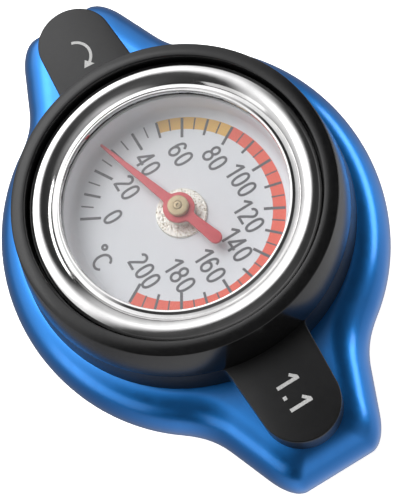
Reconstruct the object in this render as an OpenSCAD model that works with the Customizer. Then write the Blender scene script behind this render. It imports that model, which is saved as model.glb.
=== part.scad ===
// Pressure cap for a radiator filler neck, with a dial thermometer in its top.
// Millimetres, +Z up. The origin is the centre of the seat: z = 0 is the face of
// the upper gasket that rests on the rim of the filler neck. +X runs along the wings,
// +Y is the upright direction of the dial.

/* [Wing cover] */
// Half length of the round body along the wings
body_a = 29.75; // [28.5:0.05:31]
// Half width of the round body across the wings
body_b = 27.75; // [27.5:0.05:29]
// Distance from the centre to the end of a wing
wing_end = 40.15; // [38:0.05:44]
// Half width of a wing at its end, before the corner is rounded
wing_half = 7.2; // [6:0.1:8]
// How much each flank of a wing spreads per millimetre towards the body
wing_taper = 0.4; // [0.35:0.01:0.5]
// Width of the rounding at the corners of a wing
corner_k = 4.1; // [2:0.1:5]
// Width of the rounding between a wing and the body
waist_k = 2.85; // [2:0.05:4]
// Height of the flat top of the cover
cover_top = 3.8; // [3.7:0.1:4.2]
// Height of the raised seat of the gauge in the middle of the cover
seat_top = 5.7; // [5.6:0.1:5.9]
// Height of the lower edge of the cover
cover_bottom = -2.9; // [-3.4:0.1:-2.4]
// Horizontal run of the rounded shoulder
shoulder_run = 4.8; // [3.5:0.1:5.2]
// Vertical drop of the rounded shoulder
shoulder_rise = 5.5; // [4.5:0.1:5.8]

/* [Label plate] */
// Thickness of the black plate with the two tongues
plate_t = 4.5; // [4.2:0.1:4.8]
// Radius of its round flange at the cover
plate_r = 23.95; // [23.7:0.05:24.2]
// Radius of the flange at the ring
plate_top_r = 23.4; // [23.3:0.05:23.7]
// Half width of a tongue, 30 mm from the centre
tongue_half = 5.65; // [5:0.05:6]
// Narrowing of a tongue per millimetre on each side
tongue_taper = 0.062; // [0.02:0.002:0.09]
// Distance from the centre to the tip of a tongue
tongue_tip = 36.9; // [34:0.1:37.2]

/* [Gauge] */
// Outer radius of the ring at its top edge
ring_top_r = 22.15; // [21.9:0.05:22.5]
// Height of the ring's top edge
ring_top_z = 15.2; // [15:0.1:15.8]
// Outer radius of the chrome bezel
bezel_r = 20.1; // [20:0.05:20.2]
// Radius of the opening in the bezel
window_r = 15.65; // [15.5:0.05:15.7]
// Height of the dial's face
dial_z = 7.4; // [7.2:0.1:7.8]
// Height of the pointer's underside
pointer_z = 9.5; // [9:0.1:10.2]
// Temperature that the pointer shows at rest, in degrees C
rest_temp = 28; // [0:1:200]

/* [Stem and probe] */
// Radius of the threaded shank
shank_r = 5; // [4.9:0.02:5.06]
// Radius of the probe
probe_r = 4; // [3.8:0.02:4]
// Height of the end of the probe
probe_end = -34; // [-45:0.5:-30]
// Radius of the spindle
spindle_r = 0.6; // [0.5:0.01:0.6]

/* [Cap] */
// Outer radius of the pressed cap
shell_r = 24.5; // [24.2:0.05:24.5]
// Sheet thickness of the pressed cap
shell_t = 0.8; // [0.7:0.1:0.9]
// Radius of the circle inside the two bayonet lugs
lug_in_r = 19; // [18.5:0.1:20]
// Half angle of a lug, in degrees
lug_half = 27; // [20:1:35]
// Height of the lower edge of the cap
shell_bottom = -4; // [-4.5:0.1:-3.6]
// Inner radius of the upper gasket
gasket_in_r = 13.2; // [13:0.1:13.6]
// Outer radius of the upper gasket
gasket_out_r = 19.6; // [19:0.1:20.5]

/* [Valves] */
// Outer radius of the spring cage
cage_r = 12.6; // [12.4:0.05:12.8]
// Height of the pressure valve's sealing face
seat_z = -20; // [-20:0.1:-19.8]
// Radius of the pressure seal
seal_r = 14; // [13.6:0.1:14.4]
// Wire diameter of the pressure spring
spring_d = 1.6; // [1.2:0.1:1.6]
// Coils of the pressure spring
spring_turns = 4.5; // [3.5:0.25:4.5]
// Wire diameter of the vacuum spring
vac_spring_d = 0.6; // [0.4:0.1:0.6]
// Coils of the vacuum spring
vac_turns = 4; // [3:0.5:5]

/* [Hidden] */
$fn = 96;

plate_top = cover_top + plate_t;
case_floor = dial_z - 0.5;        // top of the case's floor, under the dial
case_rim = 11.6;                  // top edge of the case wall
lens_z0 = case_rim + 0.4;         // the lens lies on the gasket
lens_z1 = lens_z0 + 1.1;
shell_top = 2 + shell_t;          // the cover's pocket ends on the cap's top
shell_under = shell_top - shell_t;
disc_t = 0.4;
disc_under = shell_under - disc_t;
cage_top = disc_under;
cage_t = 0.8;
cage_bottom = -11.6;
lip_top = cage_bottom + cage_t;
lip_r = 10.2;
nut_top = 0.2;
nut_bottom = -3.4;
nut_af = 15;
web_top = seat_z + 4.6;           // the valve plate's web
web_bottom = web_top - 1;
seal_land = web_bottom - 2;       // underside of the seal, where the vacuum disc seats
sleeve_out = 5.2;
sleeve_in = probe_r + 0.06;
sleeve_top = -8;
clip_t = 0.6;
spring_r = 10;                    // middle radius of the pressure spring
vac_r = 6.5;                      // middle radius of the vacuum spring
bore_r = 3.3;                     // inside of the probe
run_gap = 0.05;                   // radial play of the spindle in its bearings

// The dial runs clockwise from 0 at 240 degrees to 200 at -60 degrees.
function temp_angle(t) = 240 - 1.5 * t;

// Smooth joins of two radii, k wide.
function smin(a, b, k) = let (h = min(1, max(0, 0.5 + 0.5 * (b - a) / k)))
    b + (a - b) * h - k * h * (1 - h);
function smax(a, b, k) = -smin(-a, -b, k);

// Radius of the cover's outline at an angle, drawn in by d.
function cover_radius(w, d) = let (
        c = abs(cos(w)), s = abs(sin(w)), a = body_a - d, b = body_b - d,
        body = a * b / sqrt(pow(b * c, 2) + pow(a * s, 2)),
        end = (wing_end - d) / max(c, 0.001),
        reach = wing_half + wing_taper * wing_end - d * sqrt(1 + wing_taper * wing_taper),
        flank = reach / (s + wing_taper * c))
    smax(body, smin(end, flank, corner_k), waist_k);
function cover_ring(z, d, n) = [for (i = [0:n - 1]) let (w = cover_angle(i, n), r = cover_radius(w, d))
    [r * cos(w), r * sin(w), z]];
// Angles are closer together round the wings.
function cover_angle(i, n) = let (w = 360 * i / n) w - 11 * sin(2 * w);

// Skin of a stack of rings that have the same number of points and a common axis.
module loft(rings) {
    n = len(rings[0]);
    m = len(rings);
    low = n * m;
    top = n * m + 1;
    polyhedron(
        points = concat([for (r = rings) for (p = r) p],
            [[0, 0, rings[0][0][2]], [0, 0, rings[m - 1][0][2]]]),
        faces = concat(
            [for (i = [0:n - 1]) [low, i, (i + 1) % n]],
            [for (j = [0:m - 2]) for (i = [0:n - 1]) for (f = [
                [j * n + i, (j + 1) * n + i, j * n + (i + 1) % n],
                [(j + 1) * n + i, (j + 1) * n + (i + 1) % n, j * n + (i + 1) % n]]) f],
            [for (i = [0:n - 1]) [top, (m - 1) * n + (i + 1) % n, (m - 1) * n + i]]));
}

module disc(r, z0, z1, bore = 0) {
    difference() {
        translate([0, 0, z0]) cylinder(r = r, h = z1 - z0);
        if (bore > 0) translate([0, 0, z0 - 1]) cylinder(r = bore, h = z1 - z0 + 2);
    }
}

// Coil of wire: middle radius rm, from z0 to z1 at the wire's middle; the end coils lie closer.
function coil_rise(t, turns, p) = let (q = (1 - 2 * p) / (turns - 2))
    t < 1 ? p * t : t > turns - 1 ? 1 - p * (turns - t) : p + q * (t - 1);
module coil(rm, z0, z1, turns, a, b, sides, per_turn, p, start = 0, square = false) {
    steps = round(turns * per_turn);
    ring = square ? [[-a, -b], [a, -b], [a, b], [-a, b]]
        : [for (k = [0:sides - 1]) [a * cos(360 * k / sides), b * sin(360 * k / sides)]];
    m = len(ring);
    polyhedron(
        points = [for (i = [0:steps]) let (t = turns * i / steps, w = start + 360 * t,
                z = z0 + (z1 - z0) * coil_rise(t, turns, p))
            for (k = [0:m - 1]) [(rm + ring[k][0]) * cos(w), (rm + ring[k][0]) * sin(w), z + ring[k][1]]],
        faces = concat(
            [[for (k = [0:m - 1]) k]],
            [for (i = [0:steps - 1]) for (k = [0:m - 1]) for (f = [
                [i * m + k, (i + 1) * m + k, i * m + (k + 1) % m],
                [(i + 1) * m + k, (i + 1) * m + (k + 1) % m, i * m + (k + 1) % m]]) f],
            [[for (k = [m - 1:-1:0]) steps * m + k]]));
}

// Tongue outline from x0 to its round tip.
function tongue_centre() = let (b = atan(tongue_taper))
    (tongue_tip - (tongue_half + 30 * tongue_taper) * cos(b)) / (1 - sin(b));
module tongue(x0) {
    b = atan(tongue_taper);
    xc = tongue_centre();
    r = tongue_tip - xc;
    h = tongue_half - tongue_taper * (x0 - 30);
    polygon(concat([[x0, h]],
        [for (k = [0:24]) let (w = (90 - b) - k * (180 - 2 * b) / 24) [xc + r * cos(w), r * sin(w)]],
        [[x0, -h]]));
}

module wing_cover() {
    z1 = cover_top - shoulder_rise;
    r = shell_r + 0.1;
    color([0.10, 0.39, 0.72]) difference() {
        union() {
            loft(concat(
                [cover_ring(cover_bottom, 0.5, 120), cover_ring(cover_bottom + 0.5, 0, 120)],
                [for (k = [0:9]) cover_ring(z1 + shoulder_rise * sin(k * 10), shoulder_run * (1 - cos(k * 10)), 120)]));
            disc(19.5, 0, seat_top);
        }
        rotate_extrude() polygon([[0, cover_bottom - 1], [r, cover_bottom - 1], [r, shell_top - 1],
            [r - 0.3, shell_top - 0.3], [r - 1, shell_top], [0, shell_top]]);
        translate([0, 0, 0]) cylinder(r = shank_r + 0.1, h = 20);
        translate([0, 0, seat_top - 0.8]) cylinder(r = 8.2, h = 5);
    }
}

module label_plate() {
    color([0.07, 0.07, 0.08]) difference() {
        union() {
            translate([0, 0, cover_top]) cylinder(r1 = plate_r, r2 = plate_top_r, h = plate_t);
            for (s = [0, 180]) rotate([0, 0, s]) translate([0, 0, cover_top])
                linear_extrude(height = plate_t) tongue(20);
        }
        translate([0, 0, 0]) cylinder(r = 19.6, h = 20);
    }
}

// Conical outside; the top is slightly domed, highest near its inner edge.
module gauge_ring() {
    color([0.08, 0.08, 0.09]) rotate_extrude() polygon(concat([
        [19.6, plate_top], [plate_top_r - 0.2, plate_top], [plate_top_r - 0.05, plate_top + 0.2],
        [ring_top_r + 0.07, ring_top_z - 0.4], [ring_top_r - 0.03, ring_top_z - 0.2]],
        [for (k = [0:6]) let (r = ring_top_r - 0.2 + (20.65 - ring_top_r + 0.2) * k / 6)
            [r, ring_top_z - (r - 20.85) * (r - 20.85) / 10]],
        [for (k = [0:6]) [20.5 - 0.2 * sin(k * 15), ring_top_z - 0.212 + 0.2 * cos(k * 15)]],
        [[20.3, 11.6], [19.6, 11.6]]));
}

// A rounded shoulder, a crown that falls towards the window, and a flat rim on the lens
// whose inner edge is turned up into a small bead.
module bezel() {
    corner = 0.85;
    shoulder = 2.4;
    crown = 2.1;
    z = 13.4;
    rim = lens_z1 + 0.35;
    crest_r = bezel_r - corner - (shoulder - corner) * sin(25);
    crest_z = z + corner * cos(25) + shoulder * (1 - cos(25));
    color([0.85, 0.86, 0.88]) rotate_extrude() polygon(concat(
        [[bezel_r - 0.5, 11.6], [bezel_r, 11.6]],
        [for (k = [0:5]) [bezel_r - corner + corner * cos(k * 13), z + corner * sin(k * 13)]],
        [for (k = [1:5]) [crest_r + shoulder * sin(25 - k * 5), crest_z - shoulder + shoulder * cos(25 - k * 5)]],
        [for (k = [1:7]) [crest_r - crown * sin(k * 7.9), crest_z - crown + crown * cos(k * 7.9)]],
        [[16.82, rim], [16.3, rim], [16, rim + 0.14], [15.86, rim + 0.18], [window_r + 0.05, rim + 0.1], [window_r, rim],
         [window_r, lens_z1], [bezel_r - 0.5, lens_z1]]));
}

module lens() {
    color([0.85, 0.9, 0.92, 0.35]) disc(19, lens_z0, lens_z1);
}

module lens_gasket() {
    color([0.12, 0.12, 0.12]) disc(19.2, case_rim, lens_z0, 16.05);
}

module dial_spacer() {
    cove = 1.2;
    color([0.62, 0.63, 0.65]) rotate_extrude() polygon(concat(
        [[18.5, dial_z], [18.5, case_rim], [15.95, case_rim], [15.75, case_rim - 0.2]],
        [for (k = [0:5]) [15.75 - cove + cove * cos(k * 15), dial_z + cove - cove * sin(k * 15)]],
        [[15.75 - cove + cove * cos(75), dial_z]]));
}

module dial_plate() {
    color([0.86, 0.87, 0.89]) disc(18.5, case_floor, dial_z, 2.65);
}

module dial_bush() {
    color([0.86, 0.83, 0.74]) rotate_extrude() polygon([
        [spindle_r + run_gap, case_floor - 1.5], [2.6, case_floor - 1.5], [2.6, dial_z], [3.65, dial_z],
        [3.65, dial_z + 0.3], [3.5, dial_z + 0.45], [1.9, dial_z + 0.45], [1.9, pointer_z - 0.35],
        [1.75, pointer_z - 0.2], [spindle_r + run_gap, pointer_z - 0.2]]);
}

module pointer() {
    a = temp_angle(rest_temp);
    color([0.80, 0.22, 0.26]) translate([0, 0, pointer_z]) rotate([0, 0, a]) difference() {
        union() {
            cylinder(r = 2.2, h = 0.5);
            linear_extrude(height = 0.5) polygon(concat(
                [[0, 0.78], [14.86, 0.18], [15, 0], [14.86, -0.18], [0, -0.78]],
                [for (k = [0:12]) [-6.8 - 0.9 * sin(k * 15), -0.9 * cos(k * 15)]]));
        }
        translate([0, 0, -1]) cylinder(r = spindle_r, h = 3);
    }
}

module pointer_cap() {
    z = pointer_z + 0.5;
    color([0.78, 0.66, 0.42]) rotate_extrude() polygon([
        [spindle_r, z], [1.46, z], [1.46, z + 0.66], [1.32, z + 0.8], [spindle_r, z + 0.8]]);
}

module spindle() {
    color([0.70, 0.71, 0.73]) union() {
        disc(spindle_r, -28, pointer_z + 1.4);
        disc(1.5, -12.5, -11.5);
    }
}

module spindle_guide() {
    color([0.76, 0.62, 0.36]) disc(bore_r - 0.02, -7, -6, spindle_r + run_gap);
}

module bimetal_coil() {
    color([0.72, 0.60, 0.42]) coil(2.2, -29, -13.1, 8, 0.13, 0.5, 4, 20, 0.125, 0, true);
}

module gauge_case() {
    color([0.55, 0.56, 0.58]) difference() {
        disc(19.4, seat_top, case_rim);
        translate([0, 0, case_floor]) cylinder(r = 18.6, h = 20);
        translate([0, 0, 0]) cylinder(r = 4.5, h = 20);
    }
}

module stem_tube() {
    z0 = nut_bottom;
    color([0.78, 0.66, 0.40]) rotate_extrude() polygon(concat(
        [[2.65, case_floor - 2], [2.65, case_floor], [4.5, case_floor], [4.5, seat_top],
         [shank_r, seat_top], [shank_r, nut_top]],
        [[shank_r, z0], [shank_r - 0.3, z0 - 0.3], [probe_r, z0 - 0.3]],
        [[probe_r, probe_end + 1.5], [bore_r, probe_end + 1.5], [bore_r, case_floor - 2]]));
}

module probe_plug() {
    z = probe_end;
    color([0.78, 0.66, 0.40]) rotate_extrude() polygon(concat(
        [[0, z], [probe_r - 1.2, z]],
        [for (k = [1:5]) [probe_r - 1.2 + 1.2 * sin(k * 18), z + 1.2 - 1.2 * cos(k * 18)]],
        [[probe_r, z + 1.5], [bore_r - 0.02, z + 1.5], [bore_r - 0.02, z + 3.5], [1.4, z + 3.5],
         [1.4, z + 4.3], [0, z + 4.3]]));
}

module case_seal() {
    color([0.45, 0.20, 0.14]) disc(8, seat_top - 0.8, seat_top, shank_r + 0.15);
}

module stem_nut() {
    color([0.74, 0.62, 0.38]) difference() {
        intersection() {
            translate([0, 0, nut_bottom]) cylinder(r = nut_af / sqrt(3), h = nut_top - nut_bottom, $fn = 6);
            rotate_extrude() polygon([[0, nut_bottom - 1], [7.4, nut_bottom - 0.05], [8.7, nut_bottom + 0.7],
                [8.7, nut_top - 0.7], [7.4, nut_top + 0.05], [0, nut_top + 1]]);
        }
        translate([0, 0, nut_bottom - 1]) cylinder(r = shank_r, h = nut_top - nut_bottom + 2);
    }
}

module stem_washer() {
    color([0.75, 0.76, 0.78]) disc(8.4, nut_top, cage_top - cage_t, shank_r + 0.1);
}

module cap_shell() {
    color([0.78, 0.74, 0.58]) union() {
        difference() {
            rotate_extrude() polygon([[0, shell_top], [shell_r - 1, shell_top], [shell_r - 0.3, shell_top - 0.3],
                [shell_r, shell_top - 1], [shell_r, shell_bottom], [shell_r - shell_t, shell_bottom],
                [shell_r - shell_t, shell_under], [0, shell_under]]);
            translate([0, 0, -1]) cylinder(r = shank_r + 0.1, h = 20);
        }
        for (s = [0, 180]) rotate([0, 0, s]) intersection() {
            disc(shell_r - 0.6, shell_bottom, shell_bottom + 1, lug_in_r);
            translate([0, 0, shell_bottom - 1]) linear_extrude(height = 3)
                polygon([[0, 0], [40, -40 * tan(lug_half)], [40, 40 * tan(lug_half)]]);
        }
    }
}

module spring_disc() {
    color([0.70, 0.71, 0.73]) disc(21, disc_under, shell_under, shank_r + 0.1);
}

module neck_gasket() {
    color([0.10, 0.10, 0.10]) disc(gasket_out_r, 0, disc_under, gasket_in_r);
}

module valve_cage() {
    color([0.74, 0.74, 0.70]) difference() {
        rotate_extrude() polygon([[shank_r + 0.1, cage_top], [cage_r, cage_top], [cage_r, cage_bottom],
            [lip_r, cage_bottom], [lip_r, lip_top], [cage_r - cage_t, lip_top],
            [cage_r - cage_t, cage_top - cage_t], [shank_r + 0.1, cage_top - cage_t]]);
        for (k = [0:5]) rotate([0, 0, 30 + 60 * k]) translate([cage_r - 2, -3, -9.2]) cube([4, 6, 7]);
    }
}

module pressure_spring() {
    r = spring_d / 2;
    color([0.66, 0.67, 0.70]) coil(spring_r, lip_top + cage_t + r + 0.02, cage_top - cage_t - r - 0.02,
        spring_turns, r, r, 8, 28, 0.18);
}

module valve_plate() {
    f = lip_top;
    color([0.74, 0.74, 0.70]) difference() {
        rotate_extrude() polygon([[sleeve_out + 0.06, web_bottom], [13, web_bottom], [13, web_top],
            [9.8, web_top], [9.8, f], [11.5, f], [11.5, f + cage_t], [9, f + cage_t], [9, web_top],
            [6, web_top], [6, web_top + 1.6], [sleeve_out + 0.06, web_top + 1.6]]);
        for (k = [0:5]) rotate([0, 0, 60 * k]) translate([7.9, 0, web_bottom - 1]) cylinder(r = 1, h = 3, $fn = 32);
    }
}

module pressure_seal() {
    color([0.11, 0.11, 0.11]) rotate_extrude() polygon([[8.8, web_bottom], [seal_r, web_bottom],
        [seal_r, seat_z], [11.5, seat_z], [11.2, seal_land], [8.8, seal_land]]);
}

module vacuum_valve() {
    t = 0.9;
    z = seal_land - 0.08;
    color([0.76, 0.64, 0.40]) rotate_extrude() polygon([[sleeve_in, z - t], [10.6, z - t], [10.6, z],
        [sleeve_out, z], [sleeve_out, sleeve_top], [sleeve_in, sleeve_top]]);
}

module vacuum_spring() {
    r = vac_spring_d / 2;
    color([0.70, 0.71, 0.73]) coil(vac_r, web_top + r + 0.02, sleeve_top - clip_t - r - 0.02, vac_turns, r, r, 6, 24, 0.12);
}

module vacuum_clip() {
    color([0.72, 0.73, 0.75]) disc(7.4, sleeve_top - clip_t, sleeve_top, sleeve_out);
}

wing_cover();
label_plate();
gauge_ring();
bezel();
lens();
lens_gasket();
dial_spacer();
dial_plate();
dial_bush();
pointer();
pointer_cap();
spindle();
spindle_guide();
bimetal_coil();
gauge_case();
stem_tube();
probe_plug();
case_seal();
stem_nut();
stem_washer();
cap_shell();
spring_disc();
neck_gasket();
valve_cage();
pressure_spring();
valve_plate();
pressure_seal();
vacuum_valve();
vacuum_spring();
vacuum_clip();
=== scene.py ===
"""Looks of the radiator cap thermometer: fine meshes, procedural finishes, floor, light and camera.

All lengths below are millimetres in the part's own frame (+Z up, +X along the wings) and become metres when a mesh is made.
"""

import math
import random

import bmesh
import bpy
from mathutils import Matrix, Vector, noise


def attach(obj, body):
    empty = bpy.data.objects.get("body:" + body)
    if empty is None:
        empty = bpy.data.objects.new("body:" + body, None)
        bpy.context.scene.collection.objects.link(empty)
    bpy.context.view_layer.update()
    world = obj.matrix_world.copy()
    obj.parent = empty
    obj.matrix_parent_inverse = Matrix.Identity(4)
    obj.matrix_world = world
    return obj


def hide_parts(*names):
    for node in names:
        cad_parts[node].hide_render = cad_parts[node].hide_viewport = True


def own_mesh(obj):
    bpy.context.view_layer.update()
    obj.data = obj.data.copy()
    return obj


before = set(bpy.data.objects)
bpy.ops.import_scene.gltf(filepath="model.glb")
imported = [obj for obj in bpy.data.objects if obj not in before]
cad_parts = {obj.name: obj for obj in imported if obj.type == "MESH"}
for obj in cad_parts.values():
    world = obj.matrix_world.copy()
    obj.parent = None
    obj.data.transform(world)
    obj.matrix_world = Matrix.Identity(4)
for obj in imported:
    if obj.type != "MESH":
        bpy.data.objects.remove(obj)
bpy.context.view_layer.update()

MM = 0.001
TAU = 2.0 * math.pi
scene = bpy.context.scene


# ---------------------------------------------------------------- mesh helpers

def join(*parts):
    """One vertex and face list out of several."""
    verts, faces = [], []
    for v, f in parts:
        base = len(verts)
        verts += v
        faces += [tuple(base + i for i in face) for face in f]
    return verts, faces


def build(name, shape, sharp=32.0, flip_check=True):
    """A smooth-shaded object with crisp edges where faces meet at more than the given angle."""
    verts, faces = shape
    me = bpy.data.meshes.new(name)
    me.from_pydata([(x * MM, y * MM, z * MM) for x, y, z in verts], [], faces)
    bm = bmesh.new()
    bm.from_mesh(me)
    bmesh.ops.remove_doubles(bm, verts=bm.verts, dist=2e-7)
    if flip_check:
        bmesh.ops.recalc_face_normals(bm, faces=bm.faces)
    bm.to_mesh(me)
    bm.free()
    me.polygons.foreach_set("use_smooth", [True] * len(me.polygons))
    me.set_sharp_from_angle(angle=math.radians(sharp))
    ob = bpy.data.objects.new(name, me)
    scene.collection.objects.link(ob)
    return ob


def put(ob, material, body, node=None):
    """Gives a piece its finish and its place on a moving or fixed body."""
    ob.data.materials.clear()
    ob.data.materials.append(material)
    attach(ob, body)
    if node:
        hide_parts(node)
    return ob


def fillet(points, steps=5):
    """Closed profile from corners (r, z) or (r, z, rounding)."""
    out = []
    n = len(points)
    for i in range(n):
        p = Vector(points[i][:2])
        f = points[i][2] if len(points[i]) > 2 else 0.0
        if f <= 0.0:
            out.append((p.x, p.y))
            continue
        a = Vector(points[i - 1][:2]) - p
        b = Vector(points[(i + 1) % n][:2]) - p
        la, lb = a.length, b.length
        a.normalize()
        b.normalize()
        half = math.acos(max(-1.0, min(1.0, a.dot(b)))) / 2
        t = min(f / math.tan(half), la * 0.48, lb * 0.48)
        r = t * math.tan(half)
        c = p + (a + b).normalized() * (r / math.sin(half))
        s, e = p + a * t - c, p + b * t - c
        a0 = math.atan2(s.y, s.x)
        d = math.atan2(e.y, e.x) - a0
        d = (d + math.pi) % TAU - math.pi
        for k in range(steps + 1):
            w = a0 + d * k / steps
            out.append((c.x + r * math.cos(w), c.y + r * math.sin(w)))
    return out


def spline(points, steps=6):
    """Smooth open curve through the points."""
    out = []
    n = len(points)
    for i in range(n - 1):
        p0 = Vector(points[max(i - 1, 0)])
        p1, p2 = Vector(points[i]), Vector(points[i + 1])
        p3 = Vector(points[min(i + 2, n - 1)])
        for k in range(steps):
            t = k / steps
            q = 0.5 * (2 * p1 + (p2 - p0) * t + (2 * p0 - 5 * p1 + 4 * p2 - p3) * t * t
                       + (3 * p1 - p0 - 3 * p2 + p3) * t * t * t)
            out.append((q.x, q.y))
    out.append(tuple(points[-1]))
    return out


def lathe(profile, segs=192, start=0.0):
    """Closed profile of (r, z) turned about the Z axis."""
    verts, faces, rings = [], [], []
    for r, z in profile:
        base = len(verts)
        if r < 1e-6:
            verts.append((0.0, 0.0, z))
            rings.append([base])
        else:
            verts += [(r * math.cos(start + TAU * k / segs), r * math.sin(start + TAU * k / segs), z)
                      for k in range(segs)]
            rings.append(list(range(base, base + segs)))
    n = len(profile)
    for i in range(n):
        a, b = rings[i], rings[(i + 1) % n]
        if len(a) == 1 and len(b) == 1:
            continue
        for k in range(segs):
            m = (k + 1) % segs
            if len(a) == 1:
                faces.append((a[0], b[m], b[k]))
            elif len(b) == 1:
                faces.append((a[k], a[m], b[0]))
            else:
                faces.append((a[k], a[m], b[m], b[k]))
    return verts, faces


def skin(loops, closed=True):
    """Quads between loops of equal length, the last loop joined to the first."""
    verts, faces = [], []
    m = len(loops[0])
    for loop in loops:
        verts += loop
    n = len(loops)
    for i in range(n if closed else n - 1):
        a, b = i * m, ((i + 1) % n) * m
        for k in range(m):
            q = (k + 1) % m
            faces.append((a + k, a + q, b + q, b + k))
    return verts, faces


def inset(outline, d):
    """A closed outline moved inwards by d, one number or one for each point."""
    n = len(outline)
    ds = d if isinstance(d, list) else [d] * n
    out = []
    for i in range(n):
        p0, p1, p2 = (Vector(outline[j]) for j in ((i - 1) % n, i, (i + 1) % n))
        e1, e2 = (p1 - p0).normalized(), (p2 - p1).normalized()
        n1, n2 = Vector((-e1.y, e1.x)), Vector((-e2.y, e2.x))
        m = n1 + n2
        m.normalize()
        out.append(tuple(p1 + m * (ds[i] / max(m.dot(n1), 0.5))))
    return out


def star_plate(outline, bore, z0, z1, edge, edge_low=0.0, bore_edge=0.0, steps=4):
    """Plate with a round hole and an outline that runs once about the axis, its edges rounded."""
    angles = [math.atan2(y, x) for x, y in outline]

    def ring(r, z):
        return [(r * math.cos(a), r * math.sin(a), z) for a in angles]

    def outer(d, z):
        return [(x, y, z) for x, y in (inset(outline, d) if d > 1e-9 else outline)]

    loops = []
    if edge_low > 0:
        for k in range(steps, 0, -1):
            w = 0.5 * math.pi * k / steps
            loops.append(outer(edge_low * (1 - math.cos(w)), z0 + edge_low * (1 - math.sin(w))))
    loops.append(outer(0, z0 + edge_low))
    for k in range(steps + 1):
        w = 0.5 * math.pi * k / steps
        loops.append(outer(edge * (1 - math.cos(w)), z1 - edge + edge * math.sin(w)))
    if bore_edge > 0:
        loops.append(ring(bore + bore_edge, z1))
        loops.append(ring(bore, z1 - bore_edge))
    else:
        loops.append(ring(bore, z1))
    loops.append(ring(bore, z0))
    return skin(loops)


def ribbon(path, width, z0, z1, closed=False):
    """A flat raised stroke along a path."""
    pts = [Vector(p) for p in path]
    n = len(pts)
    left, right = [], []
    for i, p in enumerate(pts):
        if closed:
            d1, d2 = (p - pts[i - 1]).normalized(), (pts[(i + 1) % n] - p).normalized()
        else:
            d1 = (p - pts[i - 1]).normalized() if i else (pts[1] - p).normalized()
            d2 = (pts[i + 1] - p).normalized() if i < n - 1 else d1
        n1, n2 = Vector((-d1.y, d1.x)), Vector((-d2.y, d2.x))
        m = (n1 + n2).normalized()
        s = 0.5 * width / max(m.dot(n1), 0.4)
        left.append(p + m * s)
        right.append(p - m * s)
    verts, faces = [], []
    for a, b in zip(left, right):
        verts += [(a.x, a.y, z1), (b.x, b.y, z1), (b.x, b.y, z0), (a.x, a.y, z0)]
    for i in range(n if closed else n - 1):
        a, b = 4 * i, 4 * ((i + 1) % n)
        for k in range(4):
            q = (k + 1) % 4
            faces.append((a + k, a + q, b + q, b + k))
    if not closed:
        e = 4 * (n - 1)
        faces += [(3, 2, 1, 0), (e, e + 1, e + 2, e + 3)]
    return verts, faces


def arc_band(r0, r1, a0, a1, z0, z1, steps=96):
    """Flat raised band between two radii and two angles in degrees."""
    verts, faces = [], []
    for i in range(steps + 1):
        w = math.radians(a0 + (a1 - a0) * i / steps)
        c, s = math.cos(w), math.sin(w)
        verts += [(r0 * c, r0 * s, z1), (r1 * c, r1 * s, z1), (r1 * c, r1 * s, z0), (r0 * c, r0 * s, z0)]
    for i in range(steps):
        a, b = 4 * i, 4 * i + 4
        for k in range(4):
            q = (k + 1) % 4
            faces.append((a + k, a + q, b + q, b + k))
    e = 4 * steps
    faces += [(3, 2, 1, 0), (e, e + 1, e + 2, e + 3)]
    return verts, faces


def coil(rm, z0, z1, turns, wire, p, per_turn=72, sides=16):
    """Wire coil whose end turns lie closer, each wire end closed with a flat cap."""
    def rise(t):
        q = (1 - 2 * p) / (turns - 2)
        if t < 1:
            return p * t
        if t > turns - 1:
            return 1 - p * (turns - t)
        return p + q * (t - 1)

    steps = round(turns * per_turn)
    loops = []
    for i in range(steps + 1):
        t = turns * i / steps
        w = TAU * t
        z = z0 + (z1 - z0) * rise(t)
        r = wire
        loops.append([((rm + r * math.cos(TAU * k / sides)) * math.cos(w),
                       (rm + r * math.cos(TAU * k / sides)) * math.sin(w),
                       z + r * math.sin(TAU * k / sides)) for k in range(sides)])
    verts, faces = skin(loops, closed=False)
    e = steps * sides
    faces.append(tuple(range(sides)))
    faces.append(tuple(e + k for k in range(sides - 1, -1, -1)))
    return verts, faces


def cut(ob, cutters):
    """Takes the cutters out of a piece and keeps the result as plain mesh."""
    for c in cutters:
        mod = ob.modifiers.new("cut", "BOOLEAN")
        mod.operation = "DIFFERENCE"
        mod.solver = "EXACT"
        mod.object = c
    bpy.context.view_layer.update()
    graph = bpy.context.evaluated_depsgraph_get()
    me = bpy.data.meshes.new_from_object(ob.evaluated_get(graph))
    old = ob.data
    ob.modifiers.clear()
    ob.data = me
    bpy.data.meshes.remove(old)
    for c in cutters:
        data = c.data
        bpy.data.objects.remove(c)
        bpy.data.meshes.remove(data)
    me.polygons.foreach_set("use_smooth", [True] * len(me.polygons))
    me.set_sharp_from_angle(angle=math.radians(32))
    return ob


# ---------------------------------------------------------------- finishes

def finish_base(name):
    m = bpy.data.materials.new(name)
    m.use_nodes = True
    nt = m.node_tree
    return m, nt, nt.nodes["Principled BSDF"]


def node(nt, kind, **values):
    n = nt.nodes.new(kind)
    for k, v in values.items():
        setattr(n, k, v)
    return n


def place(nt):
    return node(nt, "ShaderNodeTexCoord").outputs["Object"]


def grain(nt, vec, scale, detail=3.0, rough=0.55, stretch=None):
    if stretch:
        mp = node(nt, "ShaderNodeMapping")
        mp.inputs["Scale"].default_value = stretch
        nt.links.new(vec, mp.inputs["Vector"])
        vec = mp.outputs["Vector"]
    n = node(nt, "ShaderNodeTexNoise")
    n.inputs["Scale"].default_value = scale
    n.inputs["Detail"].default_value = detail
    n.inputs["Roughness"].default_value = rough
    nt.links.new(vec, n.inputs["Vector"])
    return n.outputs[0]


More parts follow.
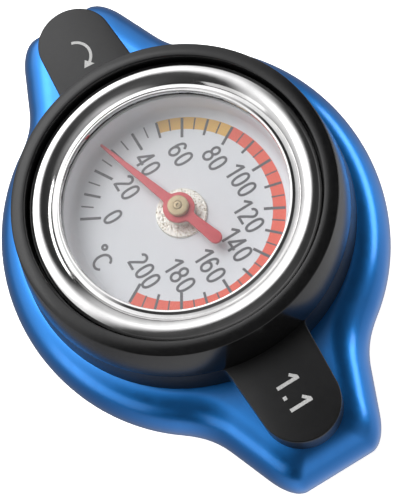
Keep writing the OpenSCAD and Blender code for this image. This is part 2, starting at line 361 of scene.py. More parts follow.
def turned(nt, vec, scale, detail=2.0):
    """Fine concentric lines about the Z axis, as a lathe leaves them."""
    sep = node(nt, "ShaderNodeSeparateXYZ")
    com = node(nt, "ShaderNodeCombineXYZ")
    nt.links.new(vec, sep.inputs[0])
    nt.links.new(sep.outputs["X"], com.inputs["X"])
    nt.links.new(sep.outputs["Y"], com.inputs["Y"])
    ln = node(nt, "ShaderNodeVectorMath", operation="LENGTH")
    nt.links.new(com.outputs[0], ln.inputs[0])
    half = node(nt, "ShaderNodeMath", operation="ADD")
    zz = node(nt, "ShaderNodeMath", operation="MULTIPLY")
    zz.inputs[1].default_value = 0.83
    nt.links.new(sep.outputs["Z"], zz.inputs[0])
    nt.links.new(ln.outputs["Value"], half.inputs[0])
    nt.links.new(zz.outputs[0], half.inputs[1])
    n = node(nt, "ShaderNodeTexNoise", noise_dimensions="1D")
    n.inputs["Scale"].default_value = scale
    n.inputs["Detail"].default_value = detail
    nt.links.new(half.outputs[0], n.inputs["W"])
    return n.outputs[0]


def shades(nt, fac, stops):
    r = node(nt, "ShaderNodeValToRGB")
    el = r.color_ramp.elements
    el[0].position, el[0].color = stops[0][0], (*stops[0][1], 1)
    el[1].position, el[1].color = stops[-1][0], (*stops[-1][1], 1)
    for pos, col in stops[1:-1]:
        e = el.new(pos)
        e.color = (*col, 1)
    nt.links.new(fac, r.inputs["Fac"])
    return r.outputs["Color"]


def span(nt, fac, lo, hi, a=0.3, b=0.7):
    m = node(nt, "ShaderNodeMapRange")
    m.inputs["From Min"].default_value = a
    m.inputs["From Max"].default_value = b
    m.inputs["To Min"].default_value = lo
    m.inputs["To Max"].default_value = hi
    nt.links.new(fac, m.inputs["Value"])
    return m.outputs["Result"]


def relief(nt, height, strength, distance, below=None):
    b = node(nt, "ShaderNodeBump")
    b.inputs["Strength"].default_value = strength
    b.inputs["Distance"].default_value = distance
    nt.links.new(height, b.inputs["Height"])
    if below is not None:
        nt.links.new(below, b.inputs["Normal"])
    return b.outputs["Normal"]


def metal(name, dark, light, rough, spread, patch=180.0, fine=5000.0, fine_depth=2.5e-6, lines=0.0, line_depth=2e-6,
          coat=0.0, coat_rough=0.1, metallic=1.0, specular=0.5, mottled=0.0):
    """Metal or paint with broad colour drift, fine grain, and turning lines where it was turned."""
    m, nt, b = finish_base(name)
    v = place(nt)
    broad = grain(nt, v, patch, 4.0, 0.6)
    col = shades(nt, broad, [(0.3, dark), (0.7, light)])
    nt.links.new(col, b.inputs["Base Color"])
    small = grain(nt, v, fine, 3.0, 0.6)
    nt.links.new(span(nt, small if mottled == 0 else broad, rough - spread, rough + spread), b.inputs["Roughness"])
    nrm = relief(nt, small, 0.6, fine_depth)
    if lines > 0:
        nrm = relief(nt, turned(nt, v, lines), 0.7, line_depth, nrm)
    nt.links.new(nrm, b.inputs["Normal"])
    b.inputs["Metallic"].default_value = metallic
    b.inputs["Specular IOR Level"].default_value = specular
    b.inputs["Coat Weight"].default_value = coat
    b.inputs["Coat Roughness"].default_value = coat_rough
    return m


def make_blue():
    m, nt, b = finish_base("blue_anodised")
    v = place(nt)
    broad = grain(nt, v, 70.0, 3.0, 0.5)
    nt.links.new(shades(nt, broad, [(0.25, (0.020, 0.285, 0.88)), (0.75, (0.026, 0.315, 0.95))]), b.inputs["Base Color"])
    bead = grain(nt, v, 2200.0, 2.0, 0.5)
    nt.links.new(span(nt, grain(nt, v, 700.0, 3.0, 0.6), 0.31, 0.37), b.inputs["Roughness"])
    nt.links.new(relief(nt, bead, 0.3, 0.25e-6), b.inputs["Normal"])
    b.inputs["Metallic"].default_value = 1.0
    b.inputs["Coat Weight"].default_value = 0.8
    b.inputs["Coat Roughness"].default_value = 0.18
    b.inputs["Coat IOR"].default_value = 1.55
    return m


def make_tongue_black():
    m, nt, b = finish_base("black_anodised")
    v = place(nt)
    speck = grain(nt, v, 6500.0, 2.0, 0.6)
    nt.links.new(shades(nt, grain(nt, v, 900.0, 5.0, 0.65), [(0.3, (0.003, 0.003, 0.0033)), (0.7, (0.0062, 0.0062, 0.0066))]),
                 b.inputs["Base Color"])
    nt.links.new(span(nt, speck, 0.30, 0.42), b.inputs["Roughness"])
    nt.links.new(relief(nt, speck, 0.5, 2.5e-6), b.inputs["Normal"])
    return m


def make_ring_black():
    m, nt, b = finish_base("black_ring")
    v = place(nt)
    speck = grain(nt, v, 4200.0, 3.0, 0.65)
    nt.links.new(shades(nt, grain(nt, v, 1500.0, 5.0, 0.7), [(0.3, (0.0035, 0.0035, 0.0037)), (0.72, (0.0085, 0.0085, 0.0087))]),
                 b.inputs["Base Color"])
    nt.links.new(span(nt, speck, 0.15, 0.23), b.inputs["Roughness"])
    nt.links.new(relief(nt, turned(nt, v, 3000.0), 0.25, 1.0e-6, relief(nt, speck, 0.5, 3e-6)), b.inputs["Normal"])
    return m


def make_chrome():
    m, nt, b = finish_base("bezel_chrome")
    v = place(nt)
    nt.links.new(shades(nt, grain(nt, v, 400.0, 3.0), [(0.3, (0.69, 0.685, 0.68)), (0.7, (0.79, 0.785, 0.78))]), b.inputs["Base Color"])
    nt.links.new(span(nt, grain(nt, v, 900.0, 4.0, 0.7), 0.09, 0.16), b.inputs["Roughness"])
    nt.links.new(relief(nt, grain(nt, v, 350.0, 2.0), 0.12, 2.0e-6), b.inputs["Normal"])
    b.inputs["Metallic"].default_value = 1.0
    return m


def make_glass():
    m, nt, b = finish_base("lens_glass")
    out = nt.nodes["Material Output"]
    nt.nodes.remove(b)
    v = place(nt)
    clear = node(nt, "ShaderNodeBsdfTransparent")
    clear.inputs["Color"].default_value = (0.938, 0.941, 0.943, 1)
    gloss = node(nt, "ShaderNodeBsdfGlossy")
    gloss.inputs["Color"].default_value = (1, 1, 1, 1)
    nt.links.new(span(nt, grain(nt, v, 600.0, 4.0), 0.02, 0.05), gloss.inputs["Roughness"])
    fres = node(nt, "ShaderNodeFresnel")
    fres.inputs["IOR"].default_value = 1.7
    front = node(nt, "ShaderNodeMath", operation="SUBTRACT")
    front.inputs[0].default_value = 1.0
    nt.links.new(node(nt, "ShaderNodeNewGeometry").outputs["Backfacing"], front.inputs[1])
    share = node(nt, "ShaderNodeMath", operation="MULTIPLY")
    nt.links.new(fres.outputs[0], share.inputs[0])
    nt.links.new(front.outputs[0], share.inputs[1])
    mix = node(nt, "ShaderNodeMixShader")
    nt.links.new(share.outputs[0], mix.inputs[0])
    nt.links.new(clear.outputs[0], mix.inputs[1])
    nt.links.new(gloss.outputs[0], mix.inputs[2])
    nt.links.new(mix.outputs[0], out.inputs["Surface"])
    return m


def make_dial():
    m, nt, b = finish_base("dial_paint")
    v = place(nt)
    nt.links.new(shades(nt, grain(nt, v, 2600.0, 4.0, 0.7), [(0.3, (0.74, 0.75, 0.775)), (0.7, (0.78, 0.79, 0.815))]), b.inputs["Base Color"])
    tooth = grain(nt, v, 9000.0, 2.0)
    nt.links.new(span(nt, tooth, 0.5, 0.62), b.inputs["Roughness"])
    nt.links.new(relief(nt, tooth, 0.3, 1.5e-6), b.inputs["Normal"])
    b.inputs["Specular IOR Level"].default_value = 0.35
    return m


def make_ink(name, dark, light):
    m, nt, b = finish_base(name)
    v = place(nt)
    press = grain(nt, v, 5200.0, 4.0, 0.7)
    nt.links.new(shades(nt, press, [(0.3, dark), (0.7, light)]), b.inputs["Base Color"])
    nt.links.new(span(nt, press, 0.45, 0.6), b.inputs["Roughness"])
    nt.links.new(relief(nt, press, 0.3, 1.5e-6), b.inputs["Normal"])
    b.inputs["Specular IOR Level"].default_value = 0.3
    return m


def make_rubber(name, dark, light, rough=0.62):
    m, nt, b = finish_base(name)
    v = place(nt)
    nt.links.new(shades(nt, grain(nt, v, 1100.0, 5.0, 0.7), [(0.28, dark), (0.75, light)]), b.inputs["Base Color"])
    pore = grain(nt, v, 5200.0, 4.0, 0.7)
    nt.links.new(span(nt, pore, rough - 0.1, rough + 0.1), b.inputs["Roughness"])
    nt.links.new(relief(nt, turned(nt, v, 2200.0), 0.25, 3e-6, relief(nt, pore, 0.7, 7e-6)), b.inputs["Normal"])
    b.inputs["Specular IOR Level"].default_value = 0.4
    return m


def make_bush():
    m, nt, b = finish_base("bush_metal")
    v = place(nt)
    vor = node(nt, "ShaderNodeTexVoronoi")
    vor.inputs["Scale"].default_value = 2600.0
    nt.links.new(v, vor.inputs["Vector"])
    pits = grain(nt, v, 3800.0, 3.0, 0.6)
    # The colour goes dark brown where the pit noise is lowest, in the same hollows the bump sinks: painted shade in
    # the pits, over pale cast metal.
    col = shades(nt, pits, [(0.33, (0.24, 0.19, 0.12)), (0.39, (0.62, 0.56, 0.44)), (0.46, (0.89, 0.86, 0.78)), (0.7, (0.96, 0.94, 0.89))])
    nt.links.new(col, b.inputs["Base Color"])
    nt.links.new(span(nt, pits, 0.45, 0.24), b.inputs["Roughness"])
    nt.links.new(relief(nt, pits, 0.5, 1.2e-5), b.inputs["Normal"])
    b.inputs["Metallic"].default_value = 0.45
    return m


M = {
    "blue": make_blue(),
    "tongue": make_tongue_black(),
    "ring": make_ring_black(),
    "chrome": make_chrome(),
    "glass": make_glass(),
    "dial": make_dial(),
    "bush": make_bush(),
    "ink": make_ink("dial_ink", (0.12, 0.12, 0.13), (0.17, 0.17, 0.18)),
    "red_ink": make_ink("dial_red", (0.78, 0.15, 0.105), (0.86, 0.185, 0.135)),
    "tan_ink": make_ink("dial_amber", (0.74, 0.45, 0.13), (0.82, 0.51, 0.165)),
    "white_ink": make_ink("white_mark", (0.36, 0.36, 0.355), (0.58, 0.58, 0.57)),
    "red": metal("pointer_red", (0.56, 0.075, 0.09), (0.64, 0.095, 0.11), 0.42, 0.06, 700.0, 6000.0, 1.5e-6, metallic=0.0),
    "brass": metal("brass", (0.52, 0.36, 0.14), (0.70, 0.52, 0.25), 0.33, 0.07, 500.0, 5000.0, 2e-6, 5200.0, 3e-6),
    "pale_brass": metal("cap_brass", (0.58, 0.46, 0.28), (0.70, 0.56, 0.36), 0.44, 0.07, 900.0, 6000.0, 2e-6, 9000.0, 1.0e-6, metallic=0.7),
    "steel": metal("spring_steel", (0.40, 0.41, 0.43), (0.58, 0.59, 0.61), 0.27, 0.07, 500.0, 4200.0, 2e-6),
    "zinc": metal("zinc_steel", (0.50, 0.51, 0.53), (0.66, 0.67, 0.69), 0.34, 0.08, 350.0, 3500.0, 3e-6),
    "plated": metal("plated_steel", (0.52, 0.45, 0.28), (0.68, 0.62, 0.46), 0.30, 0.07, 140.0, 3800.0, 2.5e-6, 1500.0, 2e-6),
    "case": metal("case_steel", (0.34, 0.35, 0.37), (0.48, 0.49, 0.51), 0.38, 0.08, 300.0, 4000.0, 3e-6),
    "bimetal": metal("bimetal", (0.40, 0.30, 0.19), (0.58, 0.44, 0.30), 0.32, 0.07, 600.0, 5000.0, 2e-6),
    "spacer": metal("spacer_grey", (0.74, 0.75, 0.775), (0.79, 0.80, 0.825), 0.5, 0.08, 500.0, 5000.0, 2e-6, metallic=0.0),
    "rubber": make_rubber("black_rubber", (0.010, 0.010, 0.0105), (0.028, 0.028, 0.028)),
    "fibre": make_rubber("fibre", (0.20, 0.06, 0.03), (0.32, 0.11, 0.06), 0.7),
}


# ---------------------------------------------------------------- winged cover

def smin(a, b, k):
    h = min(1.0, max(0.0, 0.5 + 0.5 * (b - a) / k))
    return b + (a - b) * h - k * h * (1 - h)


def smax(a, b, k):
    return -smin(-a, -b, k)


def cover_radius(w, d):
    """Distance of the cover's outline from the axis at angle w, moved inwards by d."""
    c, s = abs(math.cos(w)), abs(math.sin(w))
    a, b = 29.75 - d, 27.75 - d
    body = a * b / math.sqrt((b * c) ** 2 + (a * s) ** 2)
    end = (40.15 - d) / max(c, 0.001)
    reach = 7.2 + 0.4 * 40.15 - d * math.sqrt(1 + 0.4 ** 2)
    flank = reach / (s + 0.4 * c)
    return smax(body, smin(end, flank, 4.1), 2.85)


def make_cover():
    n = 540
    angles = []
    for i in range(n):
        w = TAU * i / n
        angles.append(w - math.radians(11) * math.sin(2 * w))

    def round_loop(r, z):
        return [(r * math.cos(t), r * math.sin(t), z) for t in angles]

    def edge_loop(d, z):
        return [(cover_radius(t, d) * math.cos(t), cover_radius(t, d) * math.sin(t), z) for t in angles]

    def between(d, r, k, z):
        return [((r + (cover_radius(t, d) - r) * k) * math.cos(t), (r + (cover_radius(t, d) - r) * k) * math.sin(t), z)
                for t in angles]

    run, rise, top, low = 4.8, 5.5, 3.8, -2.9
    loops = [round_loop(5.1, 2.8), round_loop(5.1, 4.9), round_loop(8.2, 4.9), round_loop(8.2, 5.62), round_loop(8.28, 5.7),
             round_loop(15, 5.7), round_loop(19.4, 5.7), round_loop(19.5, 5.6), round_loop(19.5, top), round_loop(21.5, top)]
    loops += [between(run, 21.5, k, top) for k in (0.3, 0.6, 0.85)]
    steps = 40
    for i in range(steps, -1, -1):
        f = 0.5 * math.pi * i / steps
        loops.append(edge_loop(run * (1 - math.cos(f)), top - rise + rise * math.sin(f)))
    loops.append(edge_loop(0, low + 0.9))
    for i in range(0, 9):
        f = 0.5 * math.pi * i / 8
        loops.append(edge_loop(0.6 * (1 - math.cos(f)), low + 0.6 - 0.6 * math.sin(f)))
    loops += [between(0.6, 24.9, k, low) for k in (0.75, 0.4)]
    loops += [round_loop(24.9, low), round_loop(24.72, low + 0.06), round_loop(24.62, low + 0.25), round_loop(24.6, low + 0.5),
              round_loop(24.6, 1.8), round_loop(24.3, 2.5), round_loop(23.6, 2.8)]
    return build("wing_cover_shell", skin(loops))


put(make_cover(), M["blue"], "cap_body", "wing_cover")


# ---------------------------------------------------------------- label plate with its two tongues

def tongue_outline(r):
    """Outline of the flange with a tongue at +X and -X, running once about the axis from the +X tip."""
    half, taper, tip = 5.65, 0.062, 36.9
    b = math.atan(taper)
    xc = (tip - (half + 30 * taper) * math.cos(b)) / (1 - math.sin(b))
    rad = tip - xc
    quarter = []
    for k in range(0, 41):
        w = (0.5 * math.pi - b) * k / 40
        quarter.append((xc + rad * math.cos(w), rad * math.sin(w)))
    x0 = 23.0
    for _ in range(30):
        h = half - taper * (x0 - 30)
        x0 = math.sqrt(r * r - h * h)
    h = half - taper * (x0 - 30)
    xs, ys = quarter[-1]
    root = []
    corner = 0.5
    dx, dy = x0 - xs, h - ys
    length = math.hypot(dx, dy)
    for k in range(1, 9):
        t = k / 8 * (1 - corner / length)
        quarter.append((xs + dx * t, ys + dy * t))
    a0 = math.atan2(h, x0)
    a_in = a0 + corner / r
    p0, p1, p2 = Vector(quarter[-1]), Vector((x0, h)), Vector((r * math.cos(a_in), r * math.sin(a_in)))
    for k in range(1, 7):
        t = k / 6
        q = p0 * (1 - t) ** 2 + p1 * 2 * t * (1 - t) + p2 * t * t
        quarter.append((q.x, q.y))
    for k in range(1, 61):
        w = a_in + (0.5 * math.pi - a_in) * k / 60
        quarter.append((r * math.cos(w), r * math.sin(w)))
    upper = quarter + [(-x, y) for x, y in reversed(quarter[:-1])]
    return upper + [(x, -y) for x, y in reversed(upper[1:-1])]


def make_plate():
    """Plate under the ring: a leaning round flange, and two tongues with upright sides."""
    low, top = tongue_outline(23.95), tongue_outline(23.4)
    z0, z1, bore = 3.8, 8.3, 19.6
    angles = [math.atan2(y, x) for x, y in top]
    edge = [0.05 + 0.15 * min(1.0, max(0.0, (math.hypot(x, y) - 23.6) / 1.2)) for x, y in top]
    loops = [[(x, y, z0) for x, y in inset(low, 0.1)], [(x, y, z0 + 0.1) for x, y in low]]
    for k in range(1, 9):
        t = k / 8
        h = (z1 - 0.2 - z0 - 0.1) * t
        loops.append([(a[0] + (b[0] - a[0]) * t, a[1] + (b[1] - a[1]) * t, z0 + 0.1 + h) for a, b in zip(low, top)])
    for k in range(0, 6):
        w = 0.5 * math.pi * k / 5
        ring = inset(top, [e * (1 - math.cos(w)) for e in edge])
        loops.append([(x, y, z1 - e + e * math.sin(w)) for (x, y), e in zip(ring, edge)])
    loops += [[(bore * math.cos(a), bore * math.sin(a), z) for a in angles] for z in (z1, z0)]
    return build("label_plate_body", skin(loops))


put(make_plate(), M["tongue"], "cap_body", "label_plate")

# filled-in figures on the near tongue: a plain pressure number
MARK_Z0, MARK_Z1 = 8.27, 8.318
mark = []
for stem, flag in ((28.6, 27.72), (32.0, 31.12)):
    mark.append(ribbon([(stem, -1.66), (stem, 1.62)], 0.5, MARK_Z0, MARK_Z1))
    mark.append(ribbon([(flag, 0.62), (stem - 0.12, 1.44)], 0.44, MARK_Z0, MARK_Z1 + 0.002))
mark.append(ribbon([(30.2, -1.68), (30.2, -1.16)], 0.52, MARK_Z0, MARK_Z1))
put(build("pressure_number", join(*mark)), M["white_ink"], "cap_body", None)

# a curved arrow on the far tongue shows which way the cap turns
arrow = []
cx, cy, rad = -29.2, -1.15, 2.35
pts = [(cx + rad * math.cos(math.radians(a)), cy + rad * math.sin(math.radians(a))) for a in range(165, 34, -5)]
arrow.append(ribbon(pts, 0.42, MARK_Z0, MARK_Z1))
tip = Vector((cx + rad * math.cos(math.radians(8)), cy + rad * math.sin(math.radians(8))))
base = Vector((cx + rad * math.cos(math.radians(38)), cy + rad * math.sin(math.radians(38))))
out = Vector((math.cos(math.radians(38)), math.sin(math.radians(38))))
tri = [tip, base + out * 0.78, base - out * 0.78]
arrow.append(([(p.x, p.y, MARK_Z1 + 0.002) for p in tri] + [(p.x, p.y, MARK_Z0) for p in tri],
              [(0, 1, 2), (5, 4, 3), (0, 3, 4, 1), (1, 4, 5, 2), (2, 5, 3, 0)]))
put(build("turn_arrow", join(*arrow)), M["white_ink"], "cap_body", None)


# ---------------------------------------------------------------- gauge ring, bezel and lens

dome = [(21.95 - 0.13 * k, 15.2 - (1.1 - 0.13 * k) ** 2 / 7) for k in range(11)]
ring_profile = fillet([(19.6, 8.3), (23.4, 8.3, 0.05), (22.26, 14.925, 0.22)] + dome + [(20.3, 15.17, 0.22), (20.3, 11.6), (19.6, 11.6)], 7)
put(build("gauge_ring_body", lathe(ring_profile, 288)), M["ring"], "cap_body", "gauge_ring")

bezel_profile = [(19.6, 11.6), (20.0, 11.6), (20.1, 11.7)]
for k in range(0, 14):
    w = math.radians(90 - 5 * k)
    bezel_profile.append((19.25 + 0.85 * math.sin(w), 13.4 + 0.85 * math.cos(w)))
for k in range(1, 11):
    w = math.radians(25 - 2.5 * k)
    bezel_profile.append((18.595 + 2.4 * math.sin(w), 11.995 + 2.4 * math.cos(w)))
for k in range(1, 20):
    w = math.radians(2.95 * k)
    bezel_profile.append((18.595 - 2.1 * math.sin(w), 12.295 + 2.1 * math.cos(w)))
bezel_profile += fillet([(16.85, 13.464), (16.82, 13.45, 0.012), (16.33, 13.45, 0.1), (15.99, 13.62, 0.12), (15.69, 13.6, 0.09), (15.65, 13.1), (17.0, 13.1)], 6)
bezel_profile.append((19.6, 13.1))
put(build("bezel_roll", lathe(bezel_profile, 288), 40), M["chrome"], "cap_body", "bezel")

put(build("lens_disc", lathe([(0, 12.0), (9, 12.0), (19, 12.0), (19, 12.9), (18.8, 13.1), (9, 13.1), (0, 13.1)], 160)),
    M["glass"], "cap_body", "lens")

cove = [(14.55 + 1.2 * math.cos(math.radians(5 * k)), 8.6 - 1.2 * math.sin(math.radians(5 * k))) for k in range(0, 17)]
put(build("dial_spacer_ring", lathe(fillet([(14.72, 7.4), (18.5, 7.4), (18.5, 11.6), (15.75, 11.6, 0.25)]) + cove, 224)),
    M["spacer"], "cap_body", "dial_spacer")


# ---------------------------------------------------------------- dial and its printing

put(build("dial_face", lathe([(2.65, 6.9), (18.5, 6.9), (18.5, 7.4), (12, 7.4), (6, 7.4), (2.65, 7.4)], 224)),
    M["dial"], "cap_body", "dial_plate")

FACE = 7.4


def temp_angle(t):
    return 240.0 - 1.5 * t


put(build("scale_band_red", arc_band(12.68, 14.5, temp_angle(200), temp_angle(80), FACE - 0.01, FACE + 0.016, 180)),
    M["red_ink"], "cap_body", None)
put(build("scale_band_amber", arc_band(12.68, 14.5, temp_angle(80), temp_angle(50), FACE - 0.01, FACE + 0.016, 60)),
    M["tan_ink"], "cap_body", None)

ticks = []
for t in range(0, 201, 5):
    w = math.radians(temp_angle(t))
    if t % 20 == 0:
        r0, width = 11.42, 0.40
    elif t % 10 == 0:
        r0, width = 11.95, 0.36
    else:
        r0, width = 12.62, 0.20
    ticks.append(ribbon([(r0 * math.cos(w), r0 * math.sin(w)), (14.42 * math.cos(w), 14.42 * math.sin(w))],
                        width, FACE - 0.01, FACE + 0.028))
put(build("scale_ticks", join(*ticks)), M["ink"], "cap_body", None)

H = 2.92
STROKE = 0.37
LOW, TOP = STROKE / 2, H - STROKE / 2


def oval(cx, cy, rx, ry, n=44, power=2.0, a0=0.0, a1=360.0):
    full = abs(a1 - a0) >= 359.9
    out = []
    for i in range(n if full else n + 1):
        w = math.radians(a0 + (a1 - a0) * i / n)
        c, s = math.cos(w), math.sin(w)
        out.append((cx + rx * math.copysign(abs(c) ** (2 / power), c), cy + ry * math.copysign(abs(s) ** (2 / power), s)))
    return out


MID = (LOW + TOP) / 2
HALF = (TOP - LOW) / 2
GLYPHS = {
    "0": [(oval(0, MID, 0.545, HALF, 52, 2.35), True)],
    "1": [([(0, 0), (0, H)], False), ([(-0.82, H - 0.93), (-0.1, H - 0.15)], False)],
    "2": [(oval(0.0, TOP - 0.60, 0.545, 0.60, 26, 2.0, 168, -28) + [(0.18, 1.42), (-0.2, 0.86), (-0.46, 0.42), (-0.54, 0.22)], False),
          ([(-0.70, LOW), (0.70, LOW)], False)],
    "4": [([(0, 0), (0, H)], False), ([(-0.05, H - 0.2), (-0.98, LOW + 0.66)], False), ([(-1.16, LOW + 0.58), (0.36, LOW + 0.58)], False)],
    "6": [(oval(0, LOW + 0.76, 0.56, 0.76, 40), True),
          (oval(0.02, MID, 0.57, HALF, 30, 2.15, 38, 180) + [(-0.56, MID - 0.3), (-0.56, LOW + 0.85)], False)],
    "8": [(oval(0, LOW + 0.68, 0.575, 0.68, 40), True), (oval(0, TOP - 0.61, 0.49, 0.61, 36), True)],
    "C": [(oval(0, MID, 0.94, HALF, 44, 2.05, 38, 322), False)],
    "o": [(oval(0, 0, 0.33, 0.33, 28), True)],
}
NUMERALS = [
    ((-4.92, -8.40), [("0", 0)]),
    ((-6.74, -4.53), [("2", -1.76), ("0", 0)]),
    ((-8.24, -0.34), [("4", -1.48), ("0", 0)]),
    ((-6.89, 4.27), [("6", -1.76), ("0", 0)]),
    ((-3.66, 8.00), [("8", -1.76), ("0", 0)]),
    ((1.96, 9.41), [("1", -3.08), ("0", -1.74), ("0", 0)]),
    ((7.05, 7.62), [("1", -3.0), ("2", -1.66), ("0", 0)]),
    ((9.75, 4.1), [("1", -3.12), ("4", -1.48), ("0", 0)]),
    ((10.35, -0.5), [("1", -3.1), ("6", -1.76), ("0", 0)]),
    ((9.3, -4.7), [("1", -3.1), ("8", -1.76), ("0", 0)]),
    ((6.2, -8.5), [("2", -3.48), ("0", -1.74), ("0", 0)]),
]
strokes = []
for (nx, ny), chars in NUMERALS:
    for ch, off in chars:
        for lift, (path, closed) in enumerate(GLYPHS[ch]):
            moved = [(x + nx + off, y + ny - H / 2) for x, y in path]
            strokes.append(ribbon(moved, STROKE, FACE - 0.01, FACE + 0.028 + 0.003 * lift, closed))
for ch, (ux, uy) in (("C", (0.1, -12.86)), ("o", (-1.62, -11.54 + H / 2))):
    for path, closed in GLYPHS[ch]:
        strokes.append(ribbon([(x + ux, y + uy - H / 2) for x, y in path], STROKE, FACE - 0.01, FACE + 0.028, closed))
put(build("scale_numerals", join(*strokes)), M["ink"], "cap_body", None)


# ---------------------------------------------------------------- bush, pointer and spindle end

def make_bush_mesh():
    """Cast bush with a pitted flange and a smooth collar."""
    prof = []
    flange = fillet([(0.65, 5.4), (2.6, 5.4), (2.6, 7.4), (3.65, 7.4), (3.6, 7.82, 0.12), (1.9, 7.85, 0.06), (1.82, 9.3, 0.12), (0.65, 9.3)], 5)
    for i, p in enumerate(flange):
        q = flange[(i + 1) % len(flange)]
        d = math.hypot(q[0] - p[0], q[1] - p[1])
        k = max(1, int(d / 0.06)) if p[1] > 7.3 and q[1] > 7.3 else 1
        prof += [(p[0] + (q[0] - p[0]) * j / k, p[1] + (q[1] - p[1]) * j / k) for j in range(k)]
    verts, faces = lathe(prof, 256)
    rng = random.Random(11)
    pits = []
    for _ in range(120):
        r, a = rng.uniform(1.95, 3.42), rng.uniform(0, TAU)
        pits.append((r * math.cos(a), r * math.sin(a), rng.uniform(0.05, 0.16), rng.uniform(0.02, 0.075)))
    out = []
    for x, y, z in verts:
        r = math.hypot(x, y)
        if z > 7.55 and 1.92 < r:
            dent = 0.0
            for px, py, pr, pd in pits:
                e = ((x - px) ** 2 + (y - py) ** 2) / (pr * pr)
                if e < 6:
                    dent = max(dent, pd * math.exp(-e))
            dent += 0.012 * noise.noise(Vector((x * 4, y * 4, z * 4)))
            z -= dent * min(1.0, (z - 7.5) / 0.25)
        out.append((x, y, z))
    return build("dial_bush_casting", (out, faces), 40)


put(make_bush_mesh(), M["bush"], "cap_body", "dial_bush")


def pointer_outline():
    """Needle along +X, counterweight along -X, round the hub, once about the axis from the tip."""
    hub = 2.2
    quarter = [(15.0, 0.0), (14.96, 0.1), (14.86, 0.18)]
    x0 = 2.1
    for k in range(1, 15):
        t = k / 14
        quarter.append((14.86 + (x0 - 0.02 - 14.86) * t, 0.18 + (0.7 - 0.18) * t))
    hx, hy = quarter[-1]
    a0 = math.atan2(hy, hx)
    a_in = math.asin(1.06 / hub)
    p0, p1, p2 = Vector((2.7, 0.675)), Vector((hx, hy)), Vector((hub * math.cos(a_in), hub * math.sin(a_in)))
    quarter = [p for p in quarter if p[0] > 2.75]
    for k in range(0, 8):
        t = k / 7
        q = p0 * (1 - t) ** 2 + p1 * 2 * t * (1 - t) + p2 * t * t
        quarter.append((q.x, q.y))
    a_out = math.pi - math.asin(1.04 / hub)
    for k in range(1, 33):
        w = a_in + (a_out - a_in) * k / 32
        quarter.append((hub * math.cos(w), hub * math.sin(w)))
    s0, s1, s2 = Vector(quarter[-1]), Vector((-2.08, 0.67)), Vector((-2.7, 0.69))
    for k in range(1, 8):
        t = k / 7
        q = s0 * (1 - t) ** 2 + s1 * 2 * t * (1 - t) + s2 * t * t
        quarter.append((q.x, q.y))
    for k in range(1, 9):
        t = k / 8
        quarter.append((-2.7 + (-6.8 + 2.7) * t, 0.69 + (0.9 - 0.69) * t))
    for k in range(1, 13):
        w = 0.5 * math.pi + 0.5 * math.pi * k / 12
        quarter.append((-6.8 + 0.9 * math.cos(w), 0.9 * math.sin(w)))
    return quarter + [(x, -y) for x, y in reversed(quarter[1:-1])]


rest_angle = math.radians(198)
ca, sa = math.cos(rest_angle), math.sin(rest_angle)
v, f = star_plate(pointer_outline(), 0.62, 9.5, 10.0, 0.085, 0.05)
put(build("pointer_blade", ([(x * ca - y * sa, x * sa + y * ca, z) for x, y, z in v], f)), M["red"], "pointer_set", "pointer")

put(build("pointer_cap_turned", lathe(fillet([(0.62, 10.0), (1.46, 10.0, 0.05), (1.46, 10.8, 0.15), (0.62, 10.82, 0.04)], 6), 128)),
    M["pale_brass"], "pointer_set", "pointer_cap")

put(build("spindle_rod", lathe([(0, -28), (0.5, -28), (0.6, -27.9), (0.6, -12.5), (1.42, -12.5), (1.5, -12.42), (1.5, -11.58), (1.42, -11.5),
                                (0.6, -11.5), (0.6, 10.78), (0.56, 10.86), (0.48, 10.9), (0.26, 10.9), (0.2, 10.86), (0.12, 10.76), (0, 10.7)], 96)),
    M["pale_brass"], "pointer_set", "spindle")


# ---------------------------------------------------------------- stem, probe and its fastening

put(build("stem_tube_body", lathe(fillet([(2.65, 4.9), (2.65, 6.9), (4.5, 6.9, 0.1), (4.5, 5.7), (5.0, 5.7), (5.0, -3.4, 0.1), (4.0, -3.7), (4.0, -32.5), (3.3, -32.5), (3.3, 4.9)], 4), 128)),
    M["brass"], "cap_body", "stem_tube")

plug_profile = fillet([(0, -34.0), (4.0, -34.0, 1.2), (4.0, -32.5), (3.3, -32.5), (3.3, -29.7), (0, -29.7)], 8)
put(build("probe_plug_end", lathe(plug_profile, 128)), M["brass"], "cap_body", "probe_plug")


# ---------------------------------------------------------------- pressed shell, seals and cage

def make_shell():
    prof = fillet([(5.1, 2.0), (23.7, 2.0, 0.3), (23.7, -4.0, 0.2), (24.5, -4.0, 0.3), (24.5, 2.8, 0.95), (5.1, 2.8)], 6)
    parts = [lathe(prof, 288)]
    half, c = math.radians(27), 1.6
    for turn in (0.0, math.pi):
        loops = []
        n = 72
        for i in range(n + 1):
            w = -half + 2 * half * i / n
            s = (half - abs(w)) * 19.0
            r_in = 19.0 + (c - math.sqrt(max(0.0, c * c - (c - s) ** 2)) if s < c else 0.0)
            a = w + turn
            sec = fillet([(24.1, -4.0), (24.1, -3.0), (r_in, -3.0, 0.22), (r_in, -4.0, 0.22)], 4)
            loops.append([(r * math.cos(a), r * math.sin(a), z) for r, z in sec])
        m = len(loops[0])
        v, f = skin(loops, closed=False)
        f += [tuple(range(m - 1, -1, -1)), tuple(n * m + k for k in range(m))]
        parts.append((v, f))
    return build("cap_shell_pressing", join(*parts))


put(make_shell(), M["plated"], "cap_body", "cap_shell")
put(build("spring_disc_sheet", lathe(fillet([(5.1, 1.6), (21.0, 1.6, 0.12), (21.0, 2.0), (5.1, 2.0)]), 224)), M["steel"], "cap_body", "spring_disc")

gasket = [(13.2, 1.6), (13.2, 0.0, 0.3)]
for r in (14.6, 16.4, 18.2):
    gasket += [(r - 0.28, 0.0, 0.1), (r, 0.16, 0.1), (r + 0.28, 0.0, 0.1)]
gasket += [(19.6, 0.0, 0.3), (19.6, 1.6)]
put(build("neck_gasket_ring", lathe(fillet(gasket, 4), 224)), M["rubber"], "cap_body", "neck_gasket")


